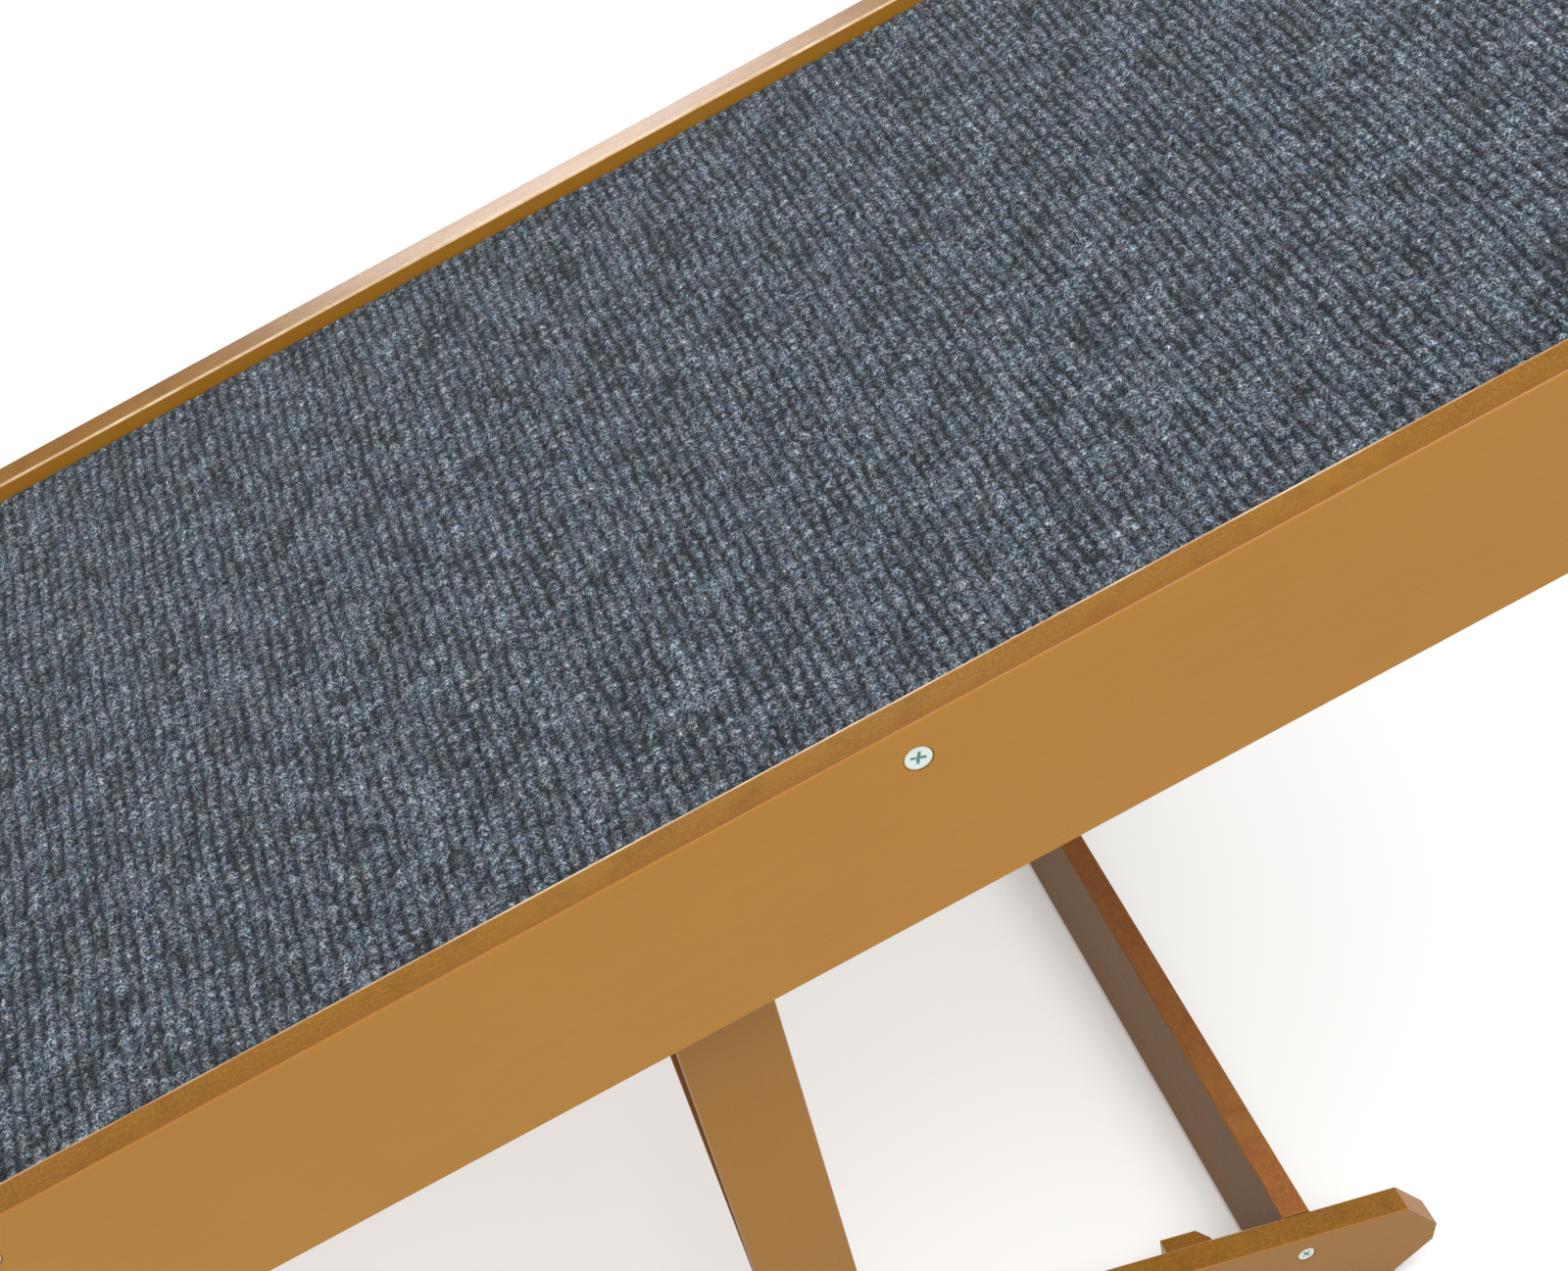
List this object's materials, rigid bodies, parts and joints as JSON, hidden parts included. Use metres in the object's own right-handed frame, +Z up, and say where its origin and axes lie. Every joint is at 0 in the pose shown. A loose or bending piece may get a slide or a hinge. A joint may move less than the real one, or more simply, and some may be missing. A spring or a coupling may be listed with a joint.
{
  "type": "dog ramp",
  "caption": "Folding pet ramp with a ribbed carpet deck between wooden board rails, hinged to a flat base frame and held up by a folding leg frame.",
  "frame": {"origin": "middle of the ramp's length and width, on the floor", "axes": "+X uphill along the floor, +Y to the left of a dog walking up, +Z up"},
  "size_m": [1.18, 0.3672, 0.5093],
  "materials": {
    "painted_rail": "ochre brown satin paint on planed boards, softened arrises",
    "painted_leg": "ochre brown satin paint",
    "painted_base": "ochre brown satin paint",
    "painted_batten": "ochre brown satin paint",
    "plywood": "bare birch plywood",
    "ribbed_carpet": "charcoal blue-grey needle felt, ribbed across the ramp",
    "zinc_screw": "bright zinc plate",
    "steel_hardware": "zinc plated steel",
    "nylon": "natural nylon",
    "rubber": "black rubber"
  },
  "bodies": {
    "base": {"base_crossbar_high": "painted_base", "base_crossbar_low": "painted_base", "base_foot_left_1": "rubber", "base_foot_left_2": "rubber", "base_foot_left_3": "rubber", "base_foot_right_1": "rubber", "base_foot_right_2": "rubber", "base_foot_right_3": "rubber", "base_screws": "zinc_screw", "base_side_left": "painted_base", "base_side_right": "painted_base", "cleat_screws": "zinc_screw", "hinge_bolts": "steel_hardware", "hinge_nuts": "steel_hardware", "hinge_spacers": "nylon", "hinge_washers": "steel_hardware", "stop_cleat_left_1": "painted_base", "stop_cleat_left_2": "painted_base", "stop_cleat_left_3": "painted_base", "stop_cleat_right_1": "painted_base", "stop_cleat_right_2": "painted_base", "stop_cleat_right_3": "painted_base"},
    "deck": {"axle_spacer_left": "nylon", "axle_spacer_right": "nylon", "batten_low": "painted_batten", "batten_lower_middle": "painted_batten", "batten_screws": "zinc_screw", "batten_top": "painted_batten", "batten_upper_middle": "painted_batten", "carpet": "ribbed_carpet", "deck_panel": "plywood", "end_board_screws": "zinc_screw", "leg_axle": "steel_hardware", "low_end_board": "painted_batten", "low_pad_left": "rubber", "low_pad_right": "rubber", "rail_left": "painted_rail", "rail_right": "painted_rail", "rail_screws": "zinc_screw", "top_bumper_left": "rubber", "top_bumper_right": "rubber", "top_end_board": "painted_batten"},
    "legs": {"leg_bushing_left": "nylon", "leg_bushing_right": "nylon", "leg_crossbar": "painted_leg", "leg_left": "painted_leg", "leg_pad_left": "rubber", "leg_pad_right": "rubber", "leg_right": "painted_leg", "leg_screws": "zinc_screw"}
  },
  "joints": [
    {"name": "deck_fold", "type": "hinge", "parent": "base", "child": "deck", "pos_m": [-0.42816, 0, 0.02797], "axis": [0, -1, 0], "range_deg": [-22, 0]},
    {"name": "leg_fold", "type": "hinge", "parent": "deck", "child": "legs", "pos_m": [0.21316, 0, 0.31727], "axis": [0, -1, 0], "range_deg": [-80, 0]}
  ],
  "couplings": [
    {"joint": "leg_fold", "follows": "deck_fold", "ratio": 3.6}
  ]
}
